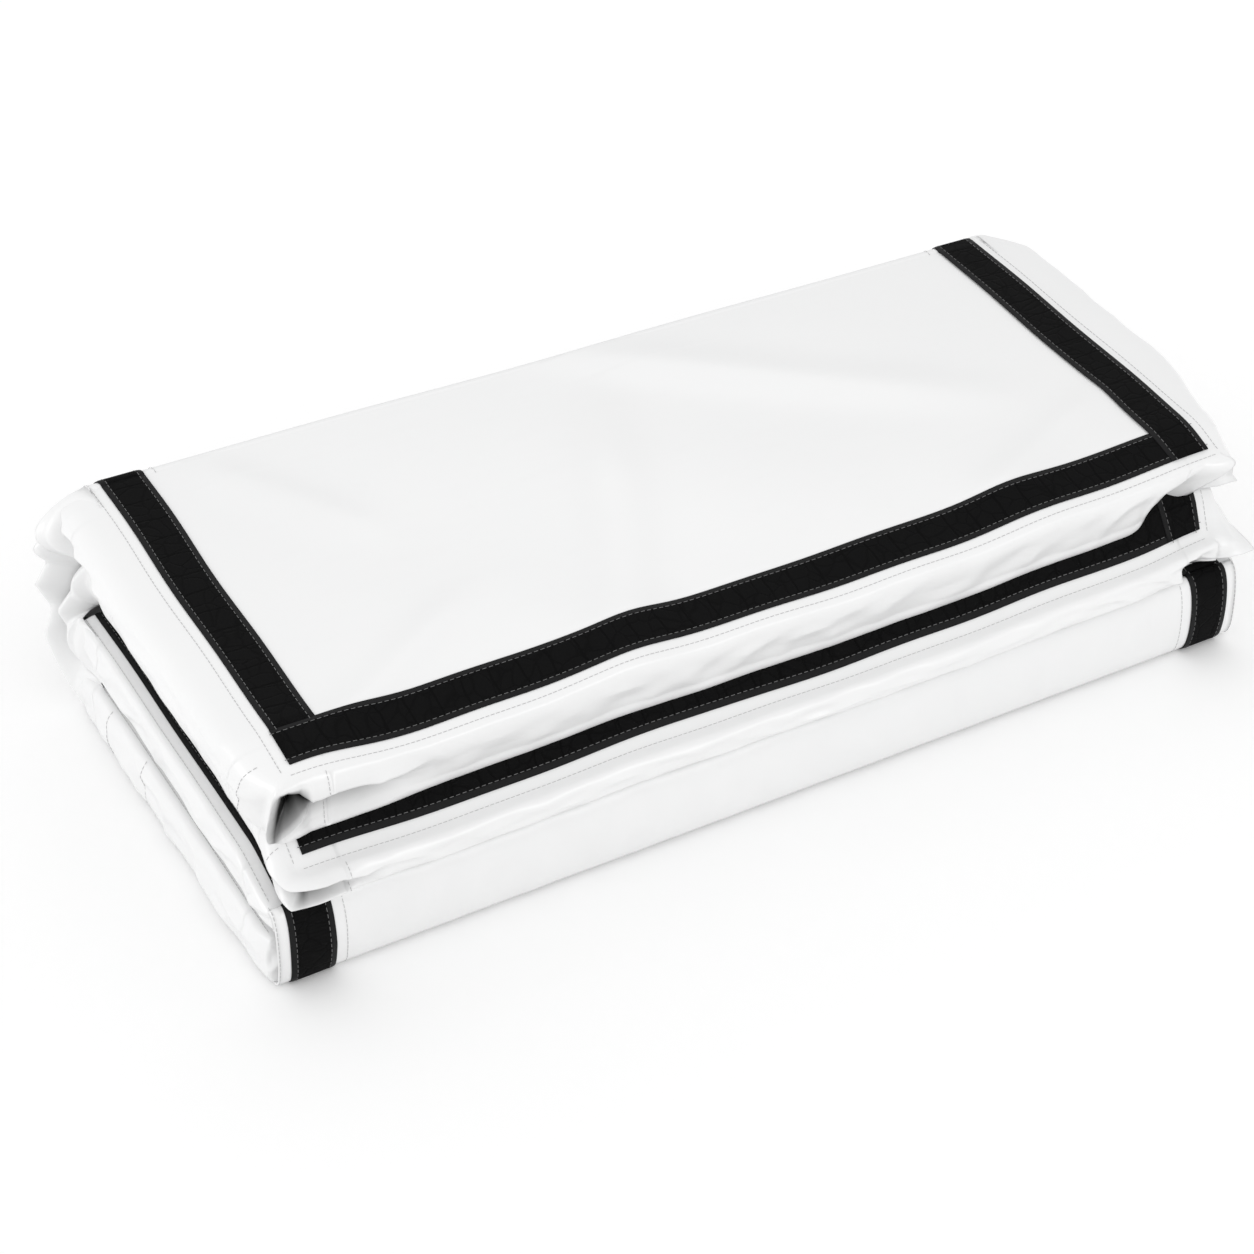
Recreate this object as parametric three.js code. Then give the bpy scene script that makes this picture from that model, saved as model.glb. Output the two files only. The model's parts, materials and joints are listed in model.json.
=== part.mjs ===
// Folding gym mat: four foam panels in one soft cover, shown folded in quarters.
// Units are millimetres. X runs along the folds, -Y is the open front edge, +Z is up.
// The origin is the middle of the footprint, on the surface that the mat lies on.

import * as THREE from 'three';

// Driving dimensions
const WIDTH = 1220;
const DEPTH = 560;
const FOAM_THICKNESS = 64;
const SKIN = 1;
const TAPE = 1.6;
const TAPE_WIDTH = 50;
const GAP = 0.3;
const PANEL_PITCH = 73;
const UPPER_LEFT_BULGE = 42;
const UPPER_RIGHT_BULGE = 30;
const LOWER_SIDE_BULGE = 12;
const FRONT_BULGE = 20;
const SEAM_TO_TAPE = 14;
const FOAM_CLEARANCE = 4;
const WEB = 2;
const ARC_STEPS = 10;

// Heights
const TAPE_STAND = TAPE + GAP;
const PANEL_THICKNESS = FOAM_THICKNESS + 2 * (SKIN + GAP);
const STACK_HEIGHT = 3 * PANEL_PITCH + PANEL_THICKNESS + 2 * TAPE_STAND;
const FOLD_HEIGHT = STACK_HEIGHT / 2;

// The flat part of a panel lies between its side seams. The upper pair's side walls bulge further.
const UPPER_CORE = { left: -WIDTH / 2 + UPPER_LEFT_BULGE, right: WIDTH / 2 - UPPER_RIGHT_BULGE };
const LOWER_CORE = { left: -WIDTH / 2 + LOWER_SIDE_BULGE, right: WIDTH / 2 - LOWER_SIDE_BULGE };

// Places along Y, from the foremost wall at 0 to the rearmost web at DEPTH
const FOLD_FRONT = 28;
const FRONT_WEB_BULGE = 18;
const OUTER_BACK = 530;
const INNER_BACK = 508;
const OUTER_WEB_BULGE = DEPTH - OUTER_BACK - TAPE_STAND;
const INNER_WEB_BULGE = 26;
const SPLIT_CLEARANCE = 0.3;
const TOP_SET_BACK = 12;

// Every panel, from the floor up. A free panel's front edge isn't joined to another panel.
const PANELS = [
  { name: 'bottom', front: FOLD_FRONT, back: OUTER_BACK, core: LOWER_CORE, free: false },
  { name: 'lower', front: FOLD_FRONT, back: INNER_BACK, core: LOWER_CORE, free: false },
  { name: 'upper', front: FRONT_BULGE, back: INNER_BACK, core: UPPER_CORE, free: true },
  { name: 'top', front: FRONT_BULGE + TOP_SET_BACK, back: OUTER_BACK, core: UPPER_CORE, free: true },
];

const vinyl = () => new THREE.MeshStandardMaterial({ color: 0xf4f4f5, roughness: 0.35, metalness: 0 });
const tapeBlack = () => new THREE.MeshStandardMaterial({ color: 0x141415, roughness: 0.9, metalness: 0 });
const foamGrey = () => new THREE.MeshStandardMaterial({ color: 0xd9d5c8, roughness: 0.95, metalness: 0 });

const mat = new THREE.Group();

function addMesh(name, geometry, material) {
  const mesh = new THREE.Mesh(geometry, material);
  mesh.name = name;
  mat.add(mesh);
  return mesh;
}

function worldY(depth) {
  return depth - DEPTH / 2;
}

function panelBase(index) {
  return TAPE_STAND + index * PANEL_PITCH;
}

// A flat box given by its lowest and highest corners
function addSlab(name, low, high, material) {
  const size = high.map((value, axis) => value - low[axis]);
  const mesh = addMesh(name, new THREE.BoxGeometry(...size), material);
  mesh.position.set(...high.map((value, axis) => (value + low[axis]) / 2));
  return mesh;
}

// A curved strip between two ellipses about the same centre, in the plane of (bulge, height)
function stripShape(bulge, height, thickness, from, to) {
  const shape = new THREE.Shape();
  const point = (shrink, step) => {
    const angle = from + (to - from) * step / ARC_STEPS;
    return [(bulge - shrink) * Math.cos(angle), (height - shrink) * Math.sin(angle)];
  };
  shape.moveTo(...point(0, 0));
  for (let step = 1; step <= ARC_STEPS; step += 1) {
    shape.lineTo(...point(0, step));
  }
  for (let step = ARC_STEPS; step >= 0; step -= 1) {
    shape.lineTo(...point(thickness, step));
  }
  return shape;
}

// A wall along Y that bulges out to the full width; side is -1 for left and 1 for right
function addSideWall(name, side, x, panel, middle) {
  const bulge = WIDTH / 2 - Math.abs(x);
  const shape = stripShape(bulge, PANEL_THICKNESS / 2, SKIN, -Math.PI / 2, Math.PI / 2);
  const geometry = new THREE.ExtrudeGeometry(shape, { depth: panel.back - panel.front, bevelEnabled: false });
  geometry.rotateX(Math.PI / 2);
  const mesh = addMesh(name, geometry, vinyl());
  mesh.rotation.z = side < 0 ? Math.PI : 0;
  mesh.position.set(x, worldY(side < 0 ? panel.front : panel.back), middle);
  return mesh;
}

// A curved strip along X; direction is -1 where it bulges to the front and 1 to the back
function addCurvedWeb(name, spec, span, material) {
  const shape = stripShape(spec.bulge, spec.height, spec.thickness, spec.from, spec.to);
  const geometry = new THREE.ExtrudeGeometry(shape, { depth: span.right - span.left, bevelEnabled: false });
  const across = new THREE.Vector3(0, spec.direction, 0);
  const up = new THREE.Vector3(0, 0, 1);
  const along = new THREE.Vector3().crossVectors(across, up);
  const placing = new THREE.Matrix4().makeBasis(across, up, along);
  placing.setPosition(along.x > 0 ? span.left : span.right, worldY(spec.at), spec.middle);
  geometry.applyMatrix4(placing);
  return addMesh(name, geometry, material);
}

// Moves a strip's two ends, level by level, so that it runs from the lower span to the upper one
function taperEnds(mesh, lower, upper) {
  const positions = mesh.geometry.attributes.position;
  const middle = (lower.left + lower.right) / 2;
  for (let index = 0; index < positions.count; index += 1) {
    const share = positions.getZ(index) / STACK_HEIGHT;
    const end = positions.getX(index) < middle ? 'left' : 'right';
    positions.setX(index, lower[end] + (upper[end] - lower[end]) * share);
  }
}

// Where the two side tapes lie across a panel
function tapeSpans(core) {
  const left = core.left + SEAM_TO_TAPE;
  const right = core.right - SEAM_TO_TAPE;
  return { left: { left, right: left + TAPE_WIDTH }, right: { left: right - TAPE_WIDTH, right } };
}

// Foam block, two face skins, two side walls and, on a free panel, the front wall
function addPanel(index) {
  const panel = PANELS[index];
  const base = panelBase(index);
  const top = base + PANEL_THICKNESS;
  const front = worldY(panel.front);
  const back = worldY(panel.back);
  const { left, right } = panel.core;
  const foamLow = [left + FOAM_CLEARANCE, front + FOAM_CLEARANCE, base + SKIN + GAP];
  const foamHigh = [right - FOAM_CLEARANCE, back - FOAM_CLEARANCE, top - SKIN - GAP];
  addSlab(`${panel.name}_foam_core`, foamLow, foamHigh, foamGrey());
  addSlab(`${panel.name}_face_below`, [left, front, base], [right, back, base + SKIN], vinyl());
  addSlab(`${panel.name}_face_above`, [left, front, top - SKIN], [right, back, top], vinyl());
  const middle = (base + top) / 2;
  addSideWall(`${panel.name}_left_wall`, -1, left - GAP, panel, middle);
  addSideWall(`${panel.name}_right_wall`, 1, right + GAP, panel, middle);
  if (panel.free) {
    const wall = {
      bulge: FRONT_BULGE - GAP, height: PANEL_THICKNESS / 2, thickness: SKIN, from: -Math.PI / 2, to: Math.PI / 2,
      direction: -1, at: panel.front - GAP, middle,
    };
    addCurvedWeb(`${panel.name}_front_wall`, wall, panel.core, vinyl());
  }
}

// Hook-and-loop tape along both sides of a panel, on both faces, and across a free front edge
function addPanelTapes(index) {
  const panel = PANELS[index];
  const base = panelBase(index);
  const levels = {
    below: [base - TAPE_STAND, base - GAP],
    above: [base + PANEL_THICKNESS + GAP, base + PANEL_THICKNESS + TAPE_STAND],
  };
  const front = worldY(panel.front);
  const back = worldY(panel.back);
  const endFront = front + SEAM_TO_TAPE;
  const endBack = endFront + TAPE_WIDTH;
  const sideFront = panel.free ? endBack + GAP : front;
  const spans = tapeSpans(panel.core);
  for (const [face, [low, high]] of Object.entries(levels)) {
    for (const [side, { left, right }] of Object.entries(spans)) {
      addSlab(`${panel.name}_${side}_tape_${face}`, [left, sideFront, low], [right, back, high], tapeBlack());
    }
    if (panel.free) {
      const lowCorner = [spans.left.left, endFront, low];
      const highCorner = [spans.right.right, endBack, high];
      addSlab(`${panel.name}_front_tape_${face}`, lowCorner, highCorner, tapeBlack());
    }
  }
}

// The web that joins the two low panels at the front
function addFrontFold() {
  const middle = (panelBase(0) + panelBase(1) + PANEL_THICKNESS) / 2;
  const height = (PANEL_PITCH + PANEL_THICKNESS) / 2;
  const web = {
    bulge: FRONT_WEB_BULGE, height, thickness: WEB, from: -Math.PI / 2, to: Math.PI / 2,
    direction: -1, at: FOLD_FRONT - GAP, middle,
  };
  addCurvedWeb('front_fold_web', web, LOWER_CORE, vinyl());
  const wrap = { ...web, bulge: FRONT_WEB_BULGE + TAPE_STAND, height: height + TAPE_STAND, thickness: TAPE };
  for (const [side, span] of Object.entries(tapeSpans(LOWER_CORE))) {
    addCurvedWeb(`front_fold_${side}_tape`, wrap, span, tapeBlack());
  }
}

// A web round the back, in an upper and a lower half that part at the fold line
function addBackFold(name, at, bulge, height, taped) {
  const halves = [
    { half: 'upper', from: 0, to: Math.PI / 2, middle: FOLD_HEIGHT + SPLIT_CLEARANCE },
    { half: 'lower', from: -Math.PI / 2, to: 0, middle: FOLD_HEIGHT - SPLIT_CLEARANCE },
  ];
  for (const { half, from, to, middle } of halves) {
    const web = {
      bulge, height: height - SPLIT_CLEARANCE, thickness: WEB, from, to, direction: 1, at: at + GAP, middle,
    };
    const strip = addCurvedWeb(`${name}_web_${half}`, web, LOWER_CORE, vinyl());
    taperEnds(strip, LOWER_CORE, UPPER_CORE);
    if (taped) {
      addBackWraps(`${name}_${half}`, web);
    }
  }
}

// Side tapes that follow half of a back web on its outside
function addBackWraps(name, web) {
  const wrap = { ...web, bulge: web.bulge + TAPE_STAND, height: web.height + TAPE_STAND, thickness: TAPE };
  const lower = tapeSpans(LOWER_CORE);
  const upper = tapeSpans(UPPER_CORE);
  for (const side of ['left', 'right']) {
    const strip = addCurvedWeb(`${name}_${side}_tape`, wrap, lower[side], tapeBlack());
    taperEnds(strip, lower[side], upper[side]);
  }
}

PANELS.forEach((panel, index) => {
  addPanel(index);
  addPanelTapes(index);
});
addFrontFold();
addBackFold('outer_fold', OUTER_BACK, OUTER_WEB_BULGE - GAP, STACK_HEIGHT / 2 - TAPE_STAND, true);
addBackFold('inner_fold', INNER_BACK, INNER_WEB_BULGE, panelBase(2) + PANEL_THICKNESS - FOLD_HEIGHT, false);

export default mat;
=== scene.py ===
"""Looks of a quarter-folded gym mat: soft vinyl panels, fold webs, hook-and-loop tape and stitching."""

import json
import logging
import math
from dataclasses import dataclass, field
from enum import Enum
from typing import Callable

import bpy
import numpy as np
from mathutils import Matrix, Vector


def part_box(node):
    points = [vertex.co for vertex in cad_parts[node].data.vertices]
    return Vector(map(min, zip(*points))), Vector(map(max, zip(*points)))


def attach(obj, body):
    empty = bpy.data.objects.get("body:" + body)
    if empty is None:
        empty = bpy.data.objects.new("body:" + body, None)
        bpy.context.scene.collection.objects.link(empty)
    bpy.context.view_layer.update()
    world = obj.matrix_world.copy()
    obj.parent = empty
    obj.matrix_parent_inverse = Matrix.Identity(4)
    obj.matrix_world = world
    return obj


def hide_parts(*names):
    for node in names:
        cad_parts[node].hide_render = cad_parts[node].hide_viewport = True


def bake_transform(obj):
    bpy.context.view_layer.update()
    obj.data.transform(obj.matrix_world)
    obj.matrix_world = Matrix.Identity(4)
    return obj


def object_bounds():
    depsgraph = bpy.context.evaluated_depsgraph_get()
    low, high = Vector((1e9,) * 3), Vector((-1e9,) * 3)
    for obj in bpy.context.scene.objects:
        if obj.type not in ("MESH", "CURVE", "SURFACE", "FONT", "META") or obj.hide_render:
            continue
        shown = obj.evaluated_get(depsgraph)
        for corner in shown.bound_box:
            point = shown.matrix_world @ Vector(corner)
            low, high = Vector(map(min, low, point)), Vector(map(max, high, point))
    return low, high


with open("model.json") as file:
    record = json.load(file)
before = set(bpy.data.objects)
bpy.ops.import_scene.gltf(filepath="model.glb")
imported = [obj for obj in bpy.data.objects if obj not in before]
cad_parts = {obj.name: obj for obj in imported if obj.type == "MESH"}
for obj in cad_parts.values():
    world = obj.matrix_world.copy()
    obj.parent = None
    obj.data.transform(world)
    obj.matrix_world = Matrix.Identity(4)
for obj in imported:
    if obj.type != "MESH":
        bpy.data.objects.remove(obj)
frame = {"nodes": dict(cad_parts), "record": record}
CAD_BOUNDS = [list(map(float, corner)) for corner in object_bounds()]
LOG = logging.getLogger("gym_mat")

MM = 0.001
GRID = 12 * MM  # spacing of mesh points where nothing is gathered
FINEST_REACH, FINEST_STEP = 48 * MM, 2.4 * MM  # mesh next to a corner
FINE_REACH, FINE_STEP = 170 * MM, 5 * MM  # mesh a little further on
WALL_ROWS = 40
CORNER_RADIUS = 22 * MM
CORNER_INSET = 3 * MM
BULGE_BLEND = 30 * MM  # where one wall's bulge turns into the next one's
SEAM_ROUNDING, SEAM_REACH = 1.4 * MM, 16 * MM
SEAM_INSET = 2.5 * MM  # seam stitches inside the panel's edge
SEAM_ENDS = 12 * MM
CROSS_SEAM = (0.03, 0.86, 60)  # first and last share of the wall's height, and points
TUCK_REACH = (120 * MM, 110 * MM)
LEAN_REACH = (170 * MM, 90 * MM)
DROOP_REACH = 75 * MM
WALL_SAG = 1.5 * MM
SKIN_LIFT = 0.3 * MM  # tape's underside above the cover
TAPE_THICKNESS = 1.6 * MM
TAPE_RIM = 0.6 * MM  # how much thinner tape is at its edges
TAPE_TOP = SKIN_LIFT + TAPE_THICKNESS
TAPE_SEWN_AT = 0.74  # share of the tape's half width
TAPE_WIDTH = 50 * MM
THREAD_SUNK = 0.1 * MM
WEB_THICKNESS = 2.0 * MM
WEB_COLUMNS = 118
WEB_DIVE, WEB_CREASE = 2.6 * MM, 3.2 * MM  # how far a web's ends sink into the panels; its wrinkles
FRONT_SEED, OUTER_SEED, INNER_SEED = 61, 71, 81  # a web and the tape on it share a seed
WEB_LEAD, CAP_LEAD, FRONT_TAIL = 8 * MM, 34 * MM, 20 * MM
CAP_STATIONS, CAP_COLUMNS = 160, 25
FOLD_BLEND = 24 * MM
FOAM_INSET = 4 * MM
FOAM_CUT_X, FOAM_CUT_Y, FOAM_CUT_REACH = 20 * MM, 34 * MM, 60 * MM
FLOOR_ROOM = 1.8 * MM  # keeps the lowest webs above the floor

Array = np.ndarray


class Edge(Enum):
    """The four edges of a panel, in order round its outline."""

    FRONT = 0
    RIGHT = 1
    BACK = 2
    LEFT = 3


# ---------------------------------------------------------------- small maths


def smooth(low: float, high: float, value: Array) -> Array:
    """Eases from 0 at low to 1 at high.

    Args:
        low: value where the ramp starts.
        high: value where the ramp ends; it may be below low.
        value: the numbers to ease.

    Returns:
        The eased numbers, between 0 and 1.
    """
    share = np.clip((value - low) / (high - low), 0.0, 1.0)
    return share * share * (3.0 - 2.0 * share)


@dataclass(frozen=True)
class Ripple:
    """Smooth seeded waves in two directions, about -1 to 1.

    Attributes:
        seed: seed of the waves' directions and phases.
        length_u: rough wavelength along the first direction, in metres.
        length_v: rough wavelength along the second direction, in metres.
        waves: how many waves are added up.
    """

    seed: int
    length_u: float
    length_v: float
    waves: int = 7

    def at(self, u: Array, v: Array) -> Array:
        """Height of the ripple at (u, v)."""
        source = np.random.default_rng(self.seed)
        total = np.zeros(np.broadcast(u, v).shape)
        for _ in range(self.waves):
            stretch_u, stretch_v = source.uniform(0.5, 1.6, 2)
            sign = source.choice((-1.0, 1.0))
            phase = source.uniform(0.0, math.tau)
            turn = u * stretch_u / self.length_u + sign * v * stretch_v / self.length_v
            total += np.sin(math.tau * turn + phase)
        return total / math.sqrt(self.waves * 2.0)

    def creases(self, u: Array, v: Array) -> Array:
        """Sharp-topped version of the ripple, 0 to 1, for pulled vinyl."""
        return 1.0 - np.minimum(np.abs(self.at(u, v)) * 1.6, 1.0)


@dataclass(frozen=True)
class SoftFold:
    """One long shallow fold in a face, from start to end in shares of the panel's width and depth."""

    start: tuple[float, float]
    end: tuple[float, float]
    width: float
    height: float

    def at(self, u: Array, v: Array, size: tuple[float, float]) -> Array:
        """Height of the fold at shares (u, v) of a panel of the given size, in metres."""
        ax, ay = self.start[0] * size[0], self.start[1] * size[1]
        bx, by = self.end[0] * size[0], self.end[1] * size[1]
        length = math.hypot(bx - ax, by - ay)
        dx, dy = (bx - ax) / length, (by - ay) / length
        px, py = u * size[0] - ax, v * size[1] - ay
        along = (px * dx + py * dy) / length
        across = -px * dy + py * dx
        body = np.exp(-((across / self.width) ** 2))
        return self.height * body * smooth(-0.15, 0.25, along) * smooth(1.15, 0.7, along)


# ---------------------------------------------------------------- the stack and its slack


@dataclass(frozen=True)
class Slack:
    """How the whole stack slumps: its corners stand a little higher or lower and its faces waver."""

    low: Vector
    high: Vector
    front_left: float = -20 * MM
    front_right: float = -17 * MM
    front_middle: float = -14 * MM
    back_left: float = 12 * MM
    back_right: float = -30 * MM
    edge_wave: float = 4.6 * MM
    face_wave: float = 1.6 * MM

    def apply(self, points: Array) -> Array:
        """Moves points of the neat stack to where the slack stack has them.

        Args:
            points: N by 3 places in metres.

        Returns:
            The moved places, in a new array.
        """
        x, y, z = points[:, 0], points[:, 1], points[:, 2]
        u = np.clip((x - self.low.x) / (self.high.x - self.low.x), 0.0, 1.0)
        v = np.clip((y - self.low.y) / (self.high.y - self.low.y), 0.0, 1.0)
        share = np.clip(z / self.high.z, 0.0, 1.1)
        front = self.front_left * (1 - u) + self.front_right * u + self.front_middle * 4.0 * u * (1 - u)
        back = self.back_left * (1 - u) + self.back_right * u
        drop = front * (1 - v) + back * v
        near_front = smooth(0.35, 0.0, v)
        waver = Ripple(11, 0.42, 0.5, 5).at(x, y) * self.face_wave
        hem = Ripple(5, 0.24, 3.0, 4).at(x, y * 0.0) * self.edge_wave * near_front
        moved = points.copy()
        moved[:, 2] = z + share ** 1.3 * (drop + waver) + np.sqrt(share) * share * hem
        sway = Ripple(3, 0.6, 2.0, 4).at(x, z) * 3.0 * MM * share
        moved[:, 1] = y + sway * near_front
        moved[:, 0] = x + Ripple(8, 2.0, 0.35, 4).at(x * 0.0 + z * 2.0, y) * 2.5 * MM * share
        return moved


LOW, HIGH = (Vector(corner) for corner in CAD_BOUNDS)
SLACK = Slack(LOW, HIGH)


def build_mesh(name: str, points: Array, faces: list[tuple[int, ...]], warp: bool = True) -> bpy.types.Object:
    """Makes a smooth-shaded object at the origin from points and faces.

    Args:
        name: the object's name.
        points: N by 3 places in metres, in the neat stack.
        faces: corner numbers of each face, outward.
        warp: whether the stack's slack moves the points.

    Returns:
        The new object, linked to the scene.
    """
    placed = SLACK.apply(points) if warp else points
    mesh = bpy.data.meshes.new(name)
    mesh.from_pydata(placed.tolist(), [], faces)
    mesh.update()
    mesh.polygons.foreach_set("use_smooth", [True] * len(mesh.polygons))
    piece = bpy.data.objects.new(name, mesh)
    bpy.context.scene.collection.objects.link(piece)
    return piece


def closed_slab_faces(rows: int, columns: int) -> list[tuple[int, ...]]:
    """Faces of a slab whose first rows * columns points are its upper grid and the rest its lower grid.

    Args:
        rows: points along the grid's first direction.
        columns: points along its second direction.

    Returns:
        The faces' corner numbers, outward where the rows run along +Y and the columns along +X.
    """
    half = rows * columns
    faces = []
    for i in range(rows - 1):
        for j in range(columns - 1):
            a = i * columns + j
            quad = (a, a + 1, a + columns + 1, a + columns)
            faces.append(quad)
            faces.append(tuple(corner + half for corner in quad[::-1]))
    loop = list(range(columns))
    loop += [i * columns + columns - 1 for i in range(1, rows)]
    loop += [(rows - 1) * columns + j for j in range(columns - 2, -1, -1)]
    loop += [i * columns for i in range(rows - 2, 0, -1)]
    for step, a in enumerate(loop):
        b = loop[(step + 1) % len(loop)]
        faces.append((a, a + half, b + half, b))
    return faces


def keep_attribute(piece: bpy.types.Object, name: str, values: Array) -> None:
    """Keeps one number for each point of a mesh, for its material."""
    attribute = piece.data.attributes.new(name, "FLOAT", "POINT")
    attribute.data.foreach_set("value", values.astype(np.float32))


def graded(length: float) -> Array:
    """Stations from 0 to a length, close together near both ends."""
    finest = np.arange(0.0, FINEST_REACH, FINEST_STEP)
    fine = np.arange(FINEST_REACH, FINE_REACH, FINE_STEP)
    head = np.concatenate([finest, fine])
    middle = np.linspace(FINE_REACH, length - FINE_REACH, round((length - 2 * FINE_REACH) / GRID) + 1)
    return np.concatenate([head, middle, (length - head)[::-1]])


# ---------------------------------------------------------------- a panel's cover


EVEN = (0.0, 0.15, 0.3, 0.45, 0.6, 0.8, 1.0)
FLAT = (0.0,) * 7


@dataclass(frozen=True)
class Section:
    """One cross-section of a gathered corner, as rows from the upper seam to the lower.

    Attributes:
        at: millimetres round the outline from the corner, negative before it.
        heights: share of the wall's height of each row.
        pushes: millimetres that each row is pushed in.
        shades: how much shade is painted into the cover's colour at each row, 0 to 1.
    """

    at: float
    heights: tuple[float, ...]
    pushes: tuple[float, ...]
    shades: tuple[float, ...]

    def table(self) -> Array:
        """The rows as an array, one row each of height, push in metres and shade."""
        return np.stack([np.array(self.heights), np.array(self.pushes) * MM, np.array(self.shades)], axis=-1)


@dataclass(frozen=True)
class Gather:
    """A gathered corner of the cover: cross-sections joined by straight facets.

    Attributes:
        before: the edge that ends at the corner, going round from the front-left.
        after: the edge that starts there.
        sections: the cross-sections, in order; the first and the last are undisturbed.
    """

    before: Edge
    after: Edge
    sections: tuple[Section, ...]

    def row(self, edge: Edge, along: Array, length: float, t: Array) -> Array:
        """Moves one even row of wall points on to the gather's own row, so that its creases stay sharp."""
        if edge not in (self.before, self.after):
            return t
        place = (along if edge is self.after else along - length) / MM
        for first, second in zip(self.sections, self.sections[1:]):
            inside = (place >= first.at) & (place < second.at)
            share = np.clip((place - first.at) / (second.at - first.at), 0.0, 1.0)
            ends = [np.interp(t, EVEN, section.heights) for section in (first, second)]
            t = np.where(inside, ends[0] * (1 - share) + ends[1] * share, t)
        return t

    def at(self, edge: Edge, along: Array, length: float, t: Array) -> tuple[Array, Array]:
        """Push and painted shade of wall points.

        Args:
            edge: the edge that the points are on.
            along: their distances along it.
            length: the edge's length.
            t: their shares of the wall's height.

        Returns:
            How far each is pushed in, in metres, and how much shade is painted on it.
        """
        push, shade = np.zeros_like(along), np.zeros_like(along)
        if edge not in (self.before, self.after):
            return push, shade
        place = (along if edge is self.after else along - length) / MM
        for first, second in zip(self.sections, self.sections[1:]):
            inside = (place >= first.at) & (place < second.at)
            if not inside.any():
                continue
            share = ((place - first.at) / (second.at - first.at))[:, None, None]
            rows = first.table() * (1 - share) + second.table() * share
            for k in range(rows.shape[1] - 1):
                low, high = rows[:, k], rows[:, k + 1]
                step = (t - low[:, 0]) / np.maximum(high[:, 0] - low[:, 0], 1e-6)
                here = inside & (step >= 0.0) & (step <= 1.0)
                mixed = low + (high - low) * step[:, None]
                push = np.where(here, mixed[:, 1], push)
                shade = np.where(here, mixed[:, 2], shade)
        return push, shade


@dataclass
class CoverPanel:
    """One panel of the cover, pulled over its foam block.

    Attributes:
        name: the panel's name in the frame, such as top.
        body: the body that it rides on.
        bulges: how far the wall stands out on the front, right, back and left edges.
        droop_above: how far the upper face sinks at its front edge.
        droop_below: how far the lower face sinks at its front edge.
        gathers: its gathered corners.
        folds: long shallow folds in its upper face.
        side_taper: share of the left and the right bulge that is left at the front.
        seed: seed of its small wrinkles.
        tuck: how far its lower front-right corner is pulled along X and Y.
        pinch: height of the pulled creases in its walls.
        fullness: how square the walls' profile is.
        lean: how far the feet of the front and of the left wall lie further in than their heads.
        seams_at: cross seams of the wall, as edges and distances along them.
    """

    name: str
    body: str
    bulges: tuple[float, float, float, float]
    droop_above: float = 0.0
    droop_below: float = 0.0
    gathers: tuple[Gather, ...] = ()
    folds: tuple[SoftFold, ...] = ()
    side_taper: tuple[float, float] = (1.0, 1.0)
    seed: int = 1
    tuck: tuple[float, float] = (0.0, 0.0)
    pinch: float = 3 * MM
    fullness: float = 3.2
    lean: tuple[float, float] = (0.0, 0.0)
    seams_at: tuple[tuple[Edge, float], ...] = ()
    low: Vector = field(init=False)
    high: Vector = field(init=False)

    def __post_init__(self) -> None:
        """Reads where the flat part of the panel lies from the frame."""
        self.low = Vector(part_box(f"{self.name}_face_below")[0])
        self.high = Vector(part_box(f"{self.name}_face_above")[1])

    # ---- surfaces

    def face_height(self, x: Array, y: Array, upper: bool) -> Array:
        """Height of the panel's upper or lower face in the neat stack."""
        size = (self.high.x - self.low.x, self.high.y - self.low.y)
        u = (x - self.low.x) / size[0]
        v = (y - self.low.y) / size[1]
        front = smooth(DROOP_REACH, -5 * MM, y - self.low.y)
        rim = np.minimum.reduce([x - self.low.x, self.high.x - x, y - self.low.y])
        rounding = SEAM_ROUNDING * (1.0 - smooth(0.0, SEAM_REACH, rim))
        if upper:
            height = self.high.z - rounding - self.droop_above * front
            return height + sum(fold.at(u, v, size) for fold in self.folds)
        return self.low.z + rounding - self.droop_below * front

    def outline(self, edge: Edge, along: Array) -> tuple[Array, Array, Array, Array]:
        """The seam round the panel.

        Args:
            edge: which edge of the panel.
            along: distance from the edge's first corner, going front-left, front-right, back-right, back-left.

        Returns:
            The seam's x and y, and the outward direction's x and y.
        """
        width, depth = self.high.x - self.low.x, self.high.y - self.low.y
        length = width if edge in (Edge.FRONT, Edge.BACK) else depth
        rest = length - along
        zero = np.zeros_like(along)
        if edge is Edge.FRONT:
            x, y, angle = self.low.x + along, self.low.y + zero, -90.0
        elif edge is Edge.RIGHT:
            x, y, angle = self.high.x + zero, self.low.y + along, 0.0
        elif edge is Edge.BACK:
            x, y, angle = self.high.x - along, self.high.y + zero, 90.0
        else:
            x, y, angle = self.low.x + zero, self.high.y - along, 180.0
        near_start, near_end = (np.clip(1 - gap / CORNER_RADIUS, 0, 1) for gap in (along, rest))
        radians = np.radians(angle + 45.0 * (near_end ** 1.2 - near_start ** 1.2))
        out_x, out_y = np.cos(radians), np.sin(radians)
        inset = CORNER_INSET * (near_end ** 2 + near_start ** 2)
        return x - out_x * inset, y - out_y * inset, out_x, out_y

    def edge_length(self, edge: Edge) -> float:
        """Length of one edge of the flat part."""
        if edge in (Edge.FRONT, Edge.BACK):
            return self.high.x - self.low.x
        return self.high.y - self.low.y

    def bulge(self, edge: Edge, along: Array) -> Array:
        """How far the wall stands out along an edge, easing between the edges at the corners."""
        order = edge.value
        length = self.edge_length(edge)
        here = self.bulges[order]
        before, after = self.bulges[order - 1], self.bulges[(order + 1) % 4]
        start = smooth(BULGE_BLEND, 0.0, along) * 0.5
        end = smooth(BULGE_BLEND, 0.0, length - along) * 0.5
        value = here + (before - here) * start + (after - here) * end
        if edge in (Edge.LEFT, Edge.RIGHT):
            front = along if edge is Edge.RIGHT else length - along
            taper = self.side_taper[0] if edge is Edge.LEFT else self.side_taper[1]
            value = value * (taper + (1 - taper) * smooth(0.0, 0.22, front))
        return value

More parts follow.
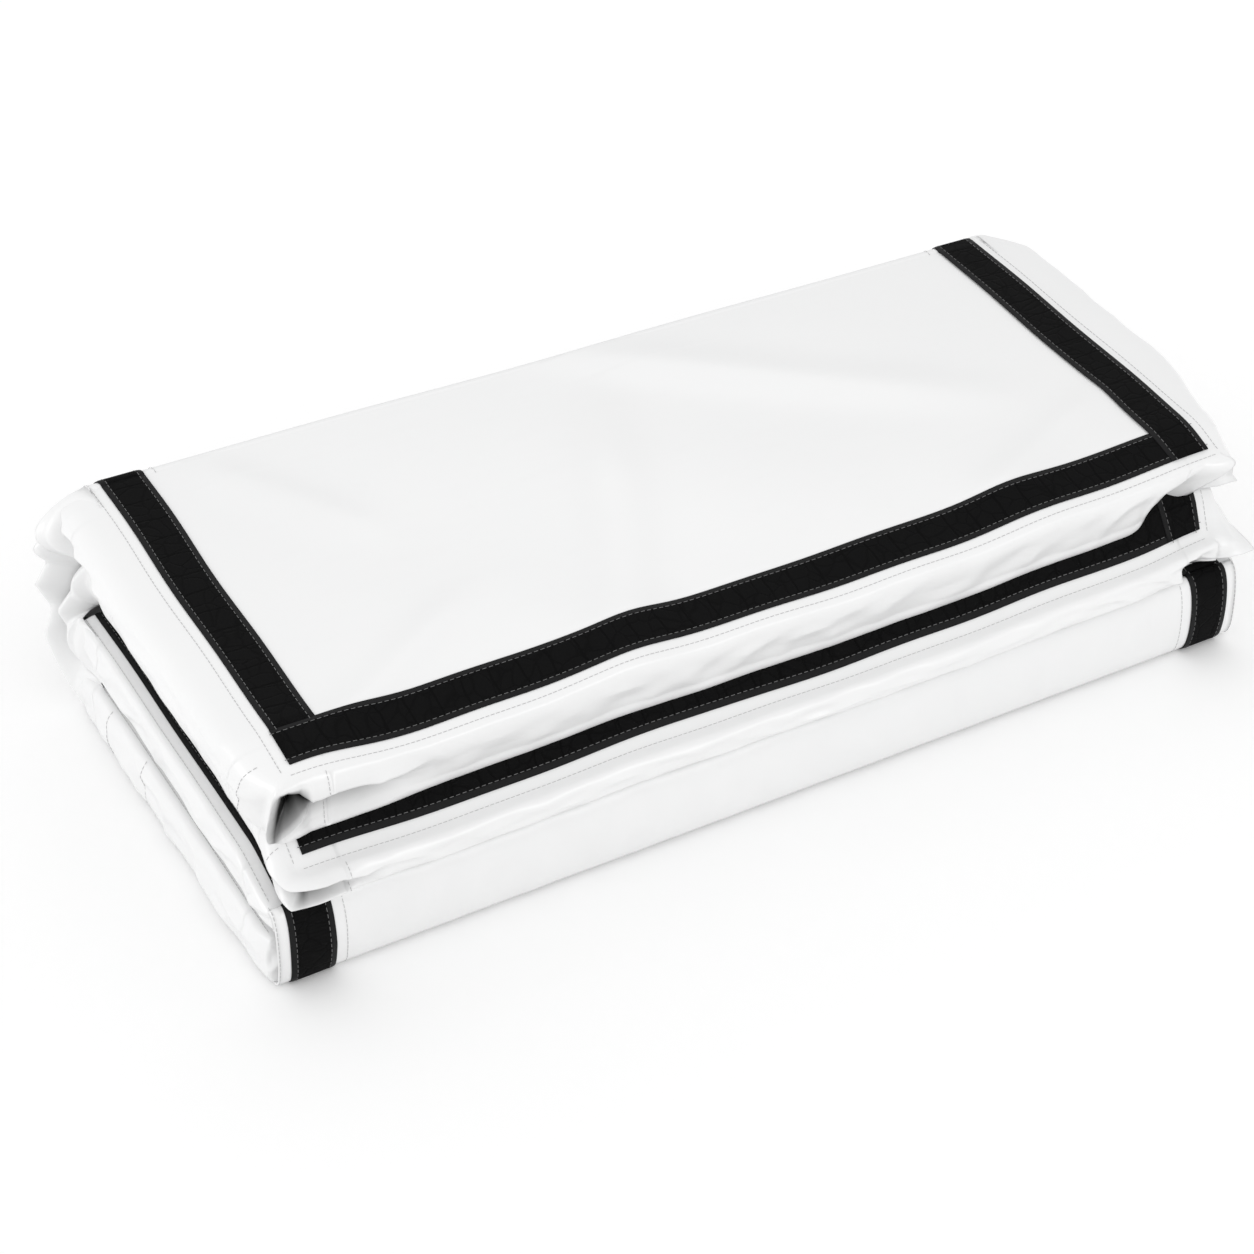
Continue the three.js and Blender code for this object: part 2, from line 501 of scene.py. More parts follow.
    def wall(self, edge: Edge, along: Array, t: Array) -> Array:
        """Places on the wall.

        Args:
            edge: which edge.
            along: distances from the edge's first corner.
            t: shares of the wall's height, from the upper seam at 0 to the lower at 1.

        Returns:
            N by 3 places in the neat stack.
        """
        along, t = np.broadcast_arrays(np.asarray(along, float), np.asarray(t, float))
        x, y, out_x, out_y = self.outline(edge, along)
        top = self.face_height(x, y, True)
        bottom = self.face_height(x, y, False)
        profile = np.clip(1.0 - np.abs(2.0 * t - 1.0) ** self.fullness, 0.0, 1.0) ** 0.5
        amount = self.bulge(edge, along) * profile
        length = self.edge_length(edge)
        middle = np.sin(math.pi * t)
        creases = Ripple(self.seed * 17 + edge.value, 0.16, 0.9, 6).creases(along, t * 0.5)
        ripple = Ripple(self.seed * 29 + edge.value, 0.11, 0.7, 6).at(along, t)
        amount = amount + middle * (self.pinch * (creases - 0.6) + 1.2 * MM * ripple)
        for gather in self.gathers:
            amount = amount - gather.at(edge, along, length, t)[0]
        z = top + (bottom - top) * t - WALL_SAG * middle
        return np.stack([x + out_x * amount, y + out_y * amount, z], axis=-1)

    def shade(self, edge: Edge, along: Array, t: Array) -> Array:
        """How much shade is painted on the wall inside its gathers, 0 to 1."""
        length = self.edge_length(edge)
        depth = np.zeros(np.broadcast(along, t).shape)
        for gather in self.gathers:
            depth = np.maximum(depth, gather.at(edge, along, length, t)[1])
        return depth

    def local(self, points: Array) -> Array:
        """Tucks the lower front-right corner in and leans the front and left walls."""
        if not any(self.tuck) and not any(self.lean):
            return points
        t = np.clip((self.high.z - points[:, 2]) / (self.high.z - self.low.z), 0.0, 1.3)
        right = smooth(TUCK_REACH[0], 0.0, self.high.x - points[:, 0])
        front = smooth(TUCK_REACH[1], 0.0, points[:, 1] - self.low.y)
        moved = points.copy()
        moved[:, 0] += self.tuck[0] * right * front * t ** 1.4
        moved[:, 1] += self.tuck[1] * right * front * t ** 1.4
        moved[:, 1] += self.lean[0] * t * smooth(LEAN_REACH[0], 0.0, points[:, 1] - self.low.y)
        moved[:, 0] += self.lean[1] * t * smooth(LEAN_REACH[1], 0.0, points[:, 0] - self.low.x)
        return moved

    # ---- mesh

    def make(self) -> bpy.types.Object:
        """Builds the closed cover: two faces and the wall round them.

        Returns:
            The cover's object, with an attribute that says how much shade is painted on each point.
        """
        width, depth = self.edge_length(Edge.FRONT), self.edge_length(Edge.RIGHT)
        across, along = graded(width), graded(depth)
        columns, rows = len(across) - 1, len(along) - 1
        back, left = width - across[::-1], depth - along[::-1]
        stations = {Edge.FRONT: across, Edge.RIGHT: along, Edge.BACK: back, Edge.LEFT: left}
        places, shades = [], []
        for t in np.linspace(0.0, 1.0, WALL_ROWS + 1):
            for edge, run in stations.items():
                heights = np.full(len(run) - 1, t)
                for gather in self.gathers:
                    heights = gather.row(edge, run[:-1], self.edge_length(edge), heights)
                places.append(self.wall(edge, run[:-1], heights))
                shades.append(self.shade(edge, run[:-1], heights))
        ring_size = 2 * (columns + rows)
        faces = []
        for ring in range(WALL_ROWS):
            for step in range(ring_size):
                ahead = (step + 1) % ring_size
                a, b = ring * ring_size + step, ring * ring_size + ahead
                faces.append((a, a + ring_size, b + ring_size, b))
        offset = ring_size * (WALL_ROWS + 1)
        for upper, ring_start in ((True, 0), (False, WALL_ROWS * ring_size)):
            grid_x, grid_y = np.meshgrid(self.low.x + across[1:-1], self.low.y + along[1:-1])
            height = self.face_height(grid_x, grid_y, upper)
            places.append(np.stack([grid_x.ravel(), grid_y.ravel(), height.ravel()], axis=-1))
            shades.append(np.zeros(grid_x.size))
            faces.extend(self.face_quads(columns, rows, ring_start, offset, upper))
            offset += (columns - 1) * (rows - 1)
        points = self.local(np.concatenate(places))
        cover = build_mesh(f"{self.name}_cover", points, faces)
        # painted shade: the vinyl's colour is darkened by this attribute inside the gathered corners
        keep_attribute(cover, "shade", np.concatenate(shades))
        return cover

    def foam(self) -> bpy.types.Object:
        """Builds the foam block, a little smaller than the cover and slumped with it.

        Returns:
            The block's object.
        """
        low, high = (Vector(corner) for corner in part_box(f"{self.name}_foam_core"))
        inset = Vector((FOAM_INSET * 2, FOAM_INSET * 3, FOAM_INSET))
        low, high = low + inset, high - inset
        columns, rows = 40, 16
        across, along = np.meshgrid(np.linspace(low.x, high.x, columns), np.linspace(low.y, high.y, rows))
        for x_edge, inward in ((low.x, FOAM_CUT_X), (high.x, -FOAM_CUT_X)):
            near = smooth(FOAM_CUT_REACH, 0.0, np.abs(across - x_edge)) * smooth(FOAM_CUT_REACH, 0.0, along - low.y)
            across, along = across + near * inward, along + near * FOAM_CUT_Y
        layers = []
        for upper, level in ((True, high.z), (False, low.z)):
            droop = self.droop_above + 3 * MM if upper else max(self.droop_below - 6 * MM, 0.0)
            sink = smooth(DROOP_REACH, -5 * MM, along - self.low.y) * droop
            layers.append(np.stack([across, along, level - sink], axis=-1).reshape(-1, 3))
        points = self.local(np.concatenate(layers))
        faces = closed_slab_faces(rows, columns)
        block = build_mesh(f"{self.name}_foam", points, faces)
        bevel = block.modifiers.new("cut_edges", "BEVEL")
        bevel.width = 3 * MM
        bevel.segments = 2
        bevel.limit_method = "ANGLE"
        return block

    def face_quads(self, columns: int, rows: int, ring: int, inner: int, upper: bool) -> list[tuple[int, ...]]:
        """Quads of one face, joined to the wall's ring.

        Args:
            columns: quads along X.
            rows: quads along Y.
            ring: number of the ring's first point.
            inner: number of the face's first inner point.
            upper: True for the upper face, whose quads point up.

        Returns:
            The quads' corner numbers.
        """

        def number(i: int, j: int) -> int:
            """Number of the point at column i and row j."""
            if j == 0:
                return ring + i
            if i == columns:
                return ring + columns + j
            if j == rows:
                return ring + columns + rows + (columns - i)
            if i == 0:
                return ring + 2 * columns + rows + (rows - j)
            return inner + (j - 1) * (columns - 1) + (i - 1)

        quads = []
        for j in range(rows):
            for i in range(columns):
                quad = (number(i, j), number(i + 1, j), number(i + 1, j + 1), number(i, j + 1))
                quads.append(quad if upper else quad[::-1])
        return quads

    def nodes(self) -> list[str]:
        """The CAD nodes that the cover stands for."""
        names = [f"{self.name}_{part}" for part in ("face_above", "face_below", "left_wall", "right_wall")]
        front = f"{self.name}_front_wall"
        return names + [front] if front in frame["nodes"] else names


# ---------------------------------------------------------------- strips that lie on a surface

Surface = Callable[[Array, Array], Array]


@dataclass
class Strip:
    """A flat strip that follows a surface: tape or a web of the cover.

    Attributes:
        name: the piece's name.
        surface: gives N by 3 places for distances along and shares across from -1 to 1.
        stations: distances along the strip.
        across: shares across the strip.
        thickness: how thick the strip is.
        lift: how far its underside stands off the surface.
        rim: how much thinner the strip is at its edges.
    """

    name: str
    surface: Surface
    stations: Array
    across: Array
    thickness: float
    lift: float = SKIN_LIFT
    rim: float = 0.0

    def make(self) -> bpy.types.Object:
        """Builds the closed strip, with an attribute that says how far across each point is."""
        along, across = np.meshgrid(self.stations, self.across, indexing="ij")
        base = self.surface(along.ravel(), across.ravel()).reshape(*along.shape, 3)
        normals = self.normals(base)
        thin = self.rim * smooth(0.86, 1.0, np.abs(across))[..., None]
        under = base + normals * self.lift
        over = base + normals * (self.lift + self.thickness - thin)
        rows, columns = along.shape
        points = np.concatenate([over.reshape(-1, 3), under.reshape(-1, 3)])
        faces = [face[::-1] for face in closed_slab_faces(rows, columns)]
        piece = build_mesh(self.name, points, faces)
        keep_attribute(piece, "across", np.tile(across.ravel(), 2))
        keep_attribute(piece, "along", np.tile(along.ravel(), 2))
        return piece

    @staticmethod
    def normals(base: Array) -> Array:
        """Directions that stand up from the strip's surface."""
        along = np.gradient(base, axis=0)
        across = np.gradient(base, axis=1)
        normal = np.cross(across, along)
        return -normal / np.linalg.norm(normal, axis=-1, keepdims=True)


TAPE_ACROSS = np.array([-1.0, -0.985, -0.9, -0.78, -0.72, -0.5, -0.2, 0.2, 0.5, 0.72, 0.78, 0.9, 0.985, 1.0])


def spaced(start: float, end: float, step: float = GRID) -> Array:
    """Even stations from start to end, close to a step apart."""
    return np.linspace(start, end, max(2, round(abs(end - start) / step) + 1))


def panel_tape(panel: CoverPanel, node: str, upper: bool, lengthwise: bool, lift: float,
               start: float) -> tuple[bpy.types.Object, Surface, Array]:
    """A tape on a panel's face, where its CAD node is.

    Args:
        panel: the panel that it is sewn to.
        node: the CAD node's name.
        upper: whether it is on the upper face.
        lengthwise: True for a side tape along Y, False for an end tape along X.
        lift: how far it stands off the cover.
        start: how much further a side tape runs at its front end.

    Returns:
        The tape's object, the surface under it and its stations.
    """
    low, high = (Vector(corner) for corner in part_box(node))
    centre, half = (low + high) / 2, (high - low) / 2
    wave = Ripple(len(node) + panel.seed, 0.3, 1.0, 4)

    def surface(along: Array, across: Array) -> Array:
        """Places on the face under the tape."""
        drift = wave.at(along, across * 0.02) * 0.8 * MM
        side = 1.0 if upper else -1.0
        if lengthwise:
            x, y = centre.x - side * across * half.x + drift, along
        else:
            x, y = along, centre.y + side * across * half.y + drift
        z = panel.face_height(x, y, upper)
        return panel.local(np.stack([x, y, z], axis=-1))

    stations = spaced(low.y - start, high.y) if lengthwise else spaced(low.x, high.x)
    strip = Strip(node + "_cloth", surface, stations, TAPE_ACROSS, TAPE_THICKNESS, lift, TAPE_RIM)
    return strip.make(), surface, stations


@dataclass(frozen=True)
class Roll:
    """The curved path of a web of the cover round a fold, seen along X.

    Attributes:
        at: Y where the web leaves the panels.
        bulge: how far it stands out.
        top: height where it starts.
        bottom: height where it ends.
        direction: -1 towards the front, 1 towards the back.
        lead: length of flat lead-in on the upper panel.
        tail: length of flat lead-out under the lower panel.
    """

    at: float
    bulge: float
    top: float
    bottom: float
    direction: int
    lead: float = 0.0
    tail: float = 0.0

    def points(self, along: Array) -> tuple[Array, Array]:
        """Y and Z at distances from 0 to 1 round the roll, with the flat leads below 0 and above 1."""
        angle = (0.5 - np.clip(along, 0.0, 1.0)) * math.pi
        middle, half = (self.top + self.bottom) / 2, (self.top - self.bottom) / 2
        y = self.at + self.direction * self.bulge * np.abs(np.cos(angle)) ** 0.8
        z = middle + half * np.sin(angle)
        lead = np.clip(-along, 0.0, None) * self.lead + np.clip(along - 1.0, 0.0, None) * self.tail
        return y - self.direction * lead, z

    def stations(self, steps: int = 26) -> Array:
        """Stations from the start of the lead to the end of the tail."""
        leads = [np.linspace(-1.0, 0.0, 7)[:-1]] if self.lead else []
        tails = [np.linspace(1.0, 2.0, 7)[1:]] if self.tail else []
        return np.concatenate(leads + [np.linspace(0.0, 1.0, steps)] + tails)


def web_surface(roll: Roll, upper: tuple[float, float], lower: tuple[float, float], seed: int,
                lift: float = 0.0) -> Surface:
    """A web's surface between its left and right ends, which differ at its top and bottom.

    Args:
        roll: the path round the fold.
        upper: x of its ends at the top.
        lower: x of its ends at the bottom.
        seed: seed of its wrinkles.
        lift: how far the surface stands outside the roll.

    Returns:
        The surface function.
    """
    wide = Ripple(seed, 0.19, 1.6, 6)
    fine = Ripple(seed + 1, 0.07, 1.2, 6)

    def surface(along: Array, across: Array) -> Array:
        """Places on the web for stations and shares across."""
        y, z = roll.points(along)
        share = np.clip(along, 0.0, 1.0)
        left = upper[0] + (lower[0] - upper[0]) * share
        right = upper[1] + (lower[1] - upper[1]) * share
        x = (left + right) / 2 + across * (right - left) / 2
        body = np.sin(math.pi * share)
        bump = body * WEB_CREASE * (wide.creases(x, share * 0.6) + 0.25 * fine.at(x, share) - 0.5)
        angle = (0.5 - share) * math.pi
        y = y + roll.direction * np.cos(angle) * (bump + lift)
        dive = WEB_DIVE * (smooth(0.0, 1.0, along - 1.0) - smooth(0.0, 1.0, -along))
        z = z + np.sin(angle) * lift + dive
        return np.stack([x, y, z], axis=-1)

    return surface


@dataclass(frozen=True)
class EndCap:
    """The side wall of the cover where it goes round a fold, gathered into pleats.

    Attributes:
        side: -1 for the left end, 1 for the right.
        outer: path of its outer edge.
        inner: path of its inner edge.
        ends: x of its edges at the top and at the bottom.
        bulges: how far it stands out at the top, in the middle and at the bottom.
        ridges: shares of the way round where the pleats stand out.
        pleat: height of the pleats.
    """

    side: int
    outer: Roll
    inner: Roll
    ends: tuple[float, float]
    bulges: tuple[float, float, float]
    ridges: tuple[float, ...]
    pleat: float

    def surface(self, along: Array, across: Array) -> Array:
        """Places on the cap for shares round the fold and shares across from -1 to 1."""
        across = across * -self.side
        inward = (across + 1.0) / 2.0
        outer_y, outer_z = self.outer.points(along)
        inner_y, inner_z = self.inner.points(along)
        share = np.clip(along, 0.0, 1.0)
        edge = self.ends[0] + (self.ends[1] - self.ends[0]) * share
        inside = smooth(-1.0, 0.0, along) * smooth(2.0, 1.0, along)
        bulge = np.interp(share, (0.0, 0.5, 1.0), self.bulges) * inside - 6 * MM * (1.0 - inside)
        turned = share + 0.10 * (inward - 0.5)
        valleys = [(a + b) / 2 for a, b in zip(self.ridges, self.ridges[1:])]
        knots = sorted([(ridge, 1.0) for ridge in self.ridges] + [(valley, 0.0) for valley in valleys])
        crest = np.interp(turned, [0.0] + [k[0] for k in knots] + [1.0], [0.3] + [k[1] for k in knots] + [0.3])
        body = np.clip(np.sin(math.pi * inward), 0.0, 1.0) ** 0.6
        fade = smooth(0.0, 0.08, share) * smooth(1.0, 0.92, share)
        stand = bulge * body + self.pleat * (crest - 0.5) * fade * body ** 0.5
        x = edge + self.side * stand
        return np.stack([x, outer_y + (inner_y - outer_y) * inward, outer_z + (inner_z - outer_z) * inward], axis=-1)


def flipped(surface: Surface) -> Surface:
    """The same surface read from its other side."""
    return lambda along, across: surface(along, -across)


# ---------------------------------------------------------------- shader helpers


class Value:
    """A shader socket that can be used in Python arithmetic."""

    def __init__(self, shader: "Shader", socket: bpy.types.NodeSocket) -> None:
        """Keeps the socket and the shader that it belongs to."""
        self.shader = shader
        self.socket = socket

    def _math(self, operation: str, first: object, second: object = None, clamp: bool = False) -> "Value":
        """Adds one Math node on two numbers or sockets."""
        inputs = {0: first} if second is None else {0: first, 1: second}
        node = self.shader.node("ShaderNodeMath", {"operation": operation, "use_clamp": clamp}, inputs)
        return Value(self.shader, node.outputs[0])

    def __add__(self, other: object) -> "Value":
        """This plus other."""
        return self._math("ADD", self, other)

    __radd__ = __add__

    def __sub__(self, other: object) -> "Value":
        """This minus other."""
        return self._math("SUBTRACT", self, other)

    def __rsub__(self, other: object) -> "Value":
        """Other minus this."""
        return self._math("SUBTRACT", other, self)

    def __mul__(self, other: object) -> "Value":
        """This times other."""
        return self._math("MULTIPLY", self, other)

    def over(self, limit: float, softness: float) -> "Value":
        """Eases from 0 below limit to 1 above limit plus softness."""
        return self._math("MULTIPLY", self - limit, 1.0 / softness, clamp=True)

    def absolute(self) -> "Value":
        """The value without its sign."""
        return self._math("ABSOLUTE", self)

    def fraction(self) -> "Value":
        """The part after the decimal point."""
        return self._math("FRACT", self)

    def clamped(self) -> "Value":
        """The value held between 0 and 1."""
        return self._math("ADD", self, 0.0, clamp=True)


class Shader:
    """A material's node tree under construction, with one Principled surface."""

    def __init__(self, name: str) -> None:
        """Starts a material with an empty tree, an output and a surface."""
        self.material = bpy.data.materials.new(name)
        self.material.use_nodes = True
        self.tree = self.material.node_tree
        self.tree.nodes.clear()
        self.surface = self.node("ShaderNodeBsdfPrincipled", {}, {})
        self.node("ShaderNodeOutputMaterial", {}, {"Surface": self.surface.outputs[0]})

    def node(self, kind: str, settings: dict[str, object], inputs: dict[object, object]) -> bpy.types.Node:
        """Adds one node.

        Args:
            kind: the node's type name.
            settings: its properties, set before its sockets.
            inputs: values, sockets or Values, by socket name or number.

        Returns:
            The new node.
        """
        node = self.tree.nodes.new(kind)
        for key, value in settings.items():
            setattr(node, key, value)
        for key, value in inputs.items():
            self.feed(node.inputs[key], value)
        return node

    def feed(self, socket: bpy.types.NodeSocket, value: object) -> None:
        """Links or sets one socket."""
        if isinstance(value, Value):
            self.tree.links.new(value.socket, socket)
        elif isinstance(value, bpy.types.NodeSocket):
            self.tree.links.new(value, socket)
        else:
            socket.default_value = value

    def place(self, scale: tuple[float, float, float] = (1, 1, 1)) -> bpy.types.NodeSocket:
        """The place on the object, stretched by scale."""
        source = self.node("ShaderNodeTexCoord", {}, {})
        mapping = self.node("ShaderNodeMapping", {}, {"Vector": source.outputs["Object"], "Scale": scale})
        return mapping.outputs[0]

    def noise(self, scale: float, detail: float = 3.0, place: bpy.types.NodeSocket | None = None) -> Value:
        """Soft noise, about 0 to 1."""
        inputs = {"Vector": place or self.place(), "Scale": scale, "Detail": detail}
        return Value(self, self.node("ShaderNodeTexNoise", {}, inputs).outputs[0])

    def attribute(self, name: str) -> Value:
        """A number kept on the mesh's points."""
        return Value(self, self.node("ShaderNodeAttribute", {"attribute_name": name}, {}).outputs["Fac"])

    def blend(self, factor: object, first: object, second: object) -> bpy.types.NodeSocket:
        """Mixes two colours."""
        node = self.node("ShaderNodeMix", {"data_type": "RGBA"}, {})
        self.feed(node.inputs[0], factor)
        self.feed(node.inputs[6], first)
        self.feed(node.inputs[7], second)
        return node.outputs[2]

    def paint(self, colour: object, roughness: object, normal: object) -> bpy.types.Material:
        """Feeds the three main sockets of the surface and hands the material over."""
        for name, value in (("Base Color", colour), ("Roughness", roughness), ("Normal", normal)):
            self.feed(self.surface.inputs[name], value)
        return self.material

    def bump(self, height: object, strength: float, distance: float,
             under: bpy.types.NodeSocket | None = None) -> bpy.types.NodeSocket:
        """Turns a height into a normal, on top of another bump."""
        inputs = {"Height": height, "Strength": strength, "Distance": distance}
        if under is not None:
            inputs["Normal"] = under
        return self.node("ShaderNodeBump", {}, inputs).outputs[0]


def rgba(level: float, tint: tuple[float, float, float] = (1, 1, 1)) -> tuple[float, float, float, float]:
    """A grey level with a slight tint, as a colour."""
    return (level * tint[0], level * tint[1], level * tint[2], 1.0)


@dataclass(frozen=True)
class CoatedVinyl:
    """White coated cover cloth: smooth, semi-gloss, with faint handling marks, pull creases and painted shade in
    gathers.
    """

    name: str = "white_vinyl"
    white: float = 0.775
    gloss: float = 0.27

    def make(self) -> bpy.types.Material:
        """Builds the material."""
        shader = Shader(self.name)
        cloud = shader.noise(5.0, 4.0)
        marks = shader.noise(38.0, 5.0).over(0.62, 0.2)
        clean = shader.blend(cloud, rgba(self.white), rgba(self.white * 0.975, (0.995, 0.998, 1.0)))
        worn = shader.blend(marks * 0.1, clean, rgba(self.white * 0.9))
        # painted shade: the shade attribute darkens the colour to near black in the gathered corners' recesses
        colour = shader.blend((shader.attribute("shade") * 1.35).clamped(), worn, rgba(0.004))
        streaks = shader.noise(14.0, 3.0, shader.place((1.0, 3.5, 1.0)))
        grain = shader.noise(900.0, 2.0)
        pulls = shader.bump(streaks, 0.25, 1.2 * MM)
        shader.surface.inputs["IOR"].default_value = 1.5
        shader.surface.inputs["Specular IOR Level"].default_value = 0.55
        roughness = self.gloss + cloud * 0.1 + marks * 0.02
        return shader.paint(colour, roughness, shader.bump(grain, 0.06, 0.1 * MM, pulls))


@dataclass(frozen=True)
class HookLoopCloth:
    """Black tape: matt pressed pile between two smoother, slightly grey selvedges."""

    name: str = "black_tape"
    pile: float = 0.0022
    selvedge: float = 0.011

    def make(self) -> bpy.types.Material:
        """Builds the material."""
        shader = Shader(self.name)
        rim = shader.attribute("across").absolute().over(0.75, 0.03)
        along = shader.attribute("along")
        place = shader.place()
        bend = shader.noise(18.0, 2.0)
        twist = shader.node("ShaderNodeVectorMath", {"operation": "ADD"}, {0: place})
        spread = shader.node("ShaderNodeVectorMath", {"operation": "SCALE"}, {"Scale": 0.035})
        bent = shader.node("ShaderNodeTexNoise", {}, {"Vector": place, "Scale": 22.0, "Detail": 1.0})
        shader.feed(spread.inputs[0], bent.outputs["Color"])
        shader.feed(twist.inputs[1], spread.outputs[0])
        cells = shader.node("ShaderNodeTexVoronoi", {"feature": "DISTANCE_TO_EDGE"},
                            {"Vector": twist.outputs[0], "Scale": 46.0})
        scale = Value(shader, cells.outputs["Distance"])
        groove = 1.0 - scale.over(0.0, 0.09)
        cross = (along * 31.0 + bend * 0.5).fraction()
        line = 1.0 - (cross - 0.5).absolute().over(0.012, 0.05)
        pile = shader.noise(1400.0, 2.0)
        fibre = shader.noise(420.0, 3.0)
        marks = (groove * 0.75 + line).clamped() * (1.0 - rim)
        dark = shader.blend(fibre, rgba(self.pile), rgba(self.pile * 2.4, (1.0, 1.0, 1.04)))
        scored = shader.blend(marks * 0.6, dark, rgba(self.pile * 0.35))
        colour = shader.blend(rim, scored, rgba(self.selvedge, (1.0, 1.0, 1.03)))
        relief = shader.bump(1.0 - marks, 0.9, 0.9 * MM)
        nap = shader.bump(pile, 0.5, 0.25 * MM, relief)
        shader.surface.inputs["Specular IOR Level"].default_value = 0.07
        return shader.paint(colour, 0.78 - rim * 0.33 + fibre * 0.08, nap)


@dataclass(frozen=True)
class SewingThread:
    """Twisted thread, pale on the tape and grey on the cover."""

    name: str
    level: float

    def make(self) -> bpy.types.Material:
        """Builds the material."""
        shader = Shader(self.name)
        twist = shader.noise(1800.0, 1.0)
        colour = shader.blend(twist, rgba(self.level * 0.75), rgba(self.level * 1.1))
        return shader.paint(colour, 0.5 + twist * 0.2, shader.bump(twist, 0.4, 0.2 * MM))


@dataclass(frozen=True)
class CutFoam:
    """Cut foam, seen only where a cover stands open."""

    name: str = "cut_foam"

    def make(self) -> bpy.types.Material:
        """Builds the material."""
        shader = Shader(self.name)
        pores = shader.noise(260.0, 4.0)
        colour = shader.blend(pores, rgba(0.50, (1.0, 0.96, 0.84)), rgba(0.62, (1.0, 0.96, 0.86)))
        return shader.paint(colour, 0.85 + pores * 0.1, shader.bump(pores, 0.6, 0.6 * MM))


# ---------------------------------------------------------------- stitching


@dataclass
class StitchTree:
    """Geometry Nodes that lay short stitches along every edge path of a mesh.

    Attributes:
        name: the tree's name.
        material: the thread's material.
    """

    name: str
    material: bpy.types.Material

    def make(self) -> bpy.types.NodeTree:
        """Builds the tree, with named inputs for pitch, stitch length and thread radius."""
        tree = bpy.data.node_groups.new(self.name, "GeometryNodeTree")
        ports = tree.interface
        ports.new_socket("Paths", in_out="INPUT", socket_type="NodeSocketGeometry")
        for title in ("Pitch", "Stitch length", "Thread radius"):
            ports.new_socket(title, in_out="INPUT", socket_type="NodeSocketFloat")
        ports.new_socket("Stitches", in_out="OUTPUT", socket_type="NodeSocketGeometry")
        add = tree.nodes.new
        source, result = add("NodeGroupInput"), add("NodeGroupOutput")
        curve = add("GeometryNodeMeshToCurve")
        spread = add("GeometryNodeResampleCurve")
        spread.mode = "LENGTH"
        stitch = add("GeometryNodeMeshCylinder")
        stitch.inputs["Vertices"].default_value = 6
        tangent = add("GeometryNodeInputTangent")
        turn = add("FunctionNodeAlignRotationToVector")
        turn.axis = "Z"
        place = add("GeometryNodeInstanceOnPoints")
        real = add("GeometryNodeRealizeInstances")
        dress = add("GeometryNodeSetMaterial")
        dress.inputs["Material"].default_value = self.material
        for start, output, end, entry in (
            (source, "Paths", curve, "Mesh"),
            (curve, "Curve", spread, "Curve"),
            (source, "Pitch", spread, "Length"),
            (source, "Stitch length", stitch, "Depth"),
            (source, "Thread radius", stitch, "Radius"),
            (spread, "Curve", place, "Points"),
            (stitch, "Mesh", place, "Instance"),
            (tangent, "Tangent", turn, "Vector"),
            (turn, "Rotation", place, "Rotation"),
            (place, "Instances", real, "Geometry"),
            (real, "Geometry", dress, "Geometry"),
            (dress, "Geometry", result, "Stitches"),
        ):
            tree.links.new(start.outputs[output], end.inputs[entry])
        return tree


@dataclass
class Seams:
    """All the runs of stitches of one thread on one body."""

    name: str
    tree: bpy.types.NodeTree
    pitch: float
    length: float
    radius: float
    paths: list[Array] = field(default_factory=list)

    def add(self, path: Array) -> None:
        """Adds a run along N by 3 places in the neat stack."""
        self.paths.append(path)

    def make(self) -> bpy.types.Object:
        """Turns the runs into one plain mesh of stitches.

        Returns:
            The stitches' object.
        """
        points, edges = [], []
        for path in self.paths:
            start = sum(len(part) for part in points)
            points.append(path)
            edges.extend((start + i, start + i + 1) for i in range(len(path) - 1))
        mesh = bpy.data.meshes.new(self.name + "_paths")
        mesh.from_pydata(SLACK.apply(np.concatenate(points)).tolist(), edges, [])
        piece = bpy.data.objects.new(self.name, mesh)
        bpy.context.scene.collection.objects.link(piece)
        modifier = piece.modifiers.new("stitches", "NODES")
        modifier.node_group = self.tree
        sizes = {"Pitch": self.pitch, "Stitch length": self.length, "Thread radius": self.radius}
        for item in self.tree.interface.items_tree:
            if item.name in sizes and item.in_out == "INPUT":
                modifier[item.identifier] = sizes[item.name]
        bpy.context.view_layer.update()
        evaluated = piece.evaluated_get(bpy.context.evaluated_depsgraph_get())
        stitched = bpy.data.meshes.new_from_object(evaluated)
        piece.modifiers.clear()
        piece.data = stitched
        return piece


# ---------------------------------------------------------------- the whole mat


@dataclass
class Finishes:
    """The materials of the mat, made once."""

    vinyl: bpy.types.Material
    tape: bpy.types.Material
    foam: bpy.types.Material
    pale_thread: bpy.types.Material
    grey_thread: bpy.types.Material

    @classmethod
    def make(cls) -> "Finishes":
        """Builds every finish."""
        return cls(
            CoatedVinyl().make(),
            HookLoopCloth().make(),
            CutFoam().make(),
            SewingThread("pale_thread", 0.14).make(),
            SewingThread("grey_thread", 0.46).make(),
        )


def finish_piece(piece: bpy.types.Object, material: bpy.types.Material, nodes: list[str]) -> None:
    """Dresses a piece with its material and hides the CAD nodes that it stands for."""
    piece.data.materials.clear()
    piece.data.materials.append(material)
    if nodes:
        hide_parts(*nodes)
    LOG.info("%s: %d faces", piece.name, len(piece.data.polygons))


def seam_path(surface: Surface, stations: Array, across: float, lift: float) -> Array:
    """A run of stitch places along a surface.

    Args:
        surface: the surface that carries the run.
        stations: distances along it.
        across: share across it.
        lift: how far the run stands off it.

    Returns:
        N by 3 places in the neat stack.
    """
    shares = np.array([across - 0.01, across, across + 0.01])
    along, side = np.meshgrid(stations, shares, indexing="ij")
    base = surface(along.ravel(), side.ravel()).reshape(len(stations), 3, 3)
    return base[:, 1] + Strip.normals(base)[:, 1] * lift


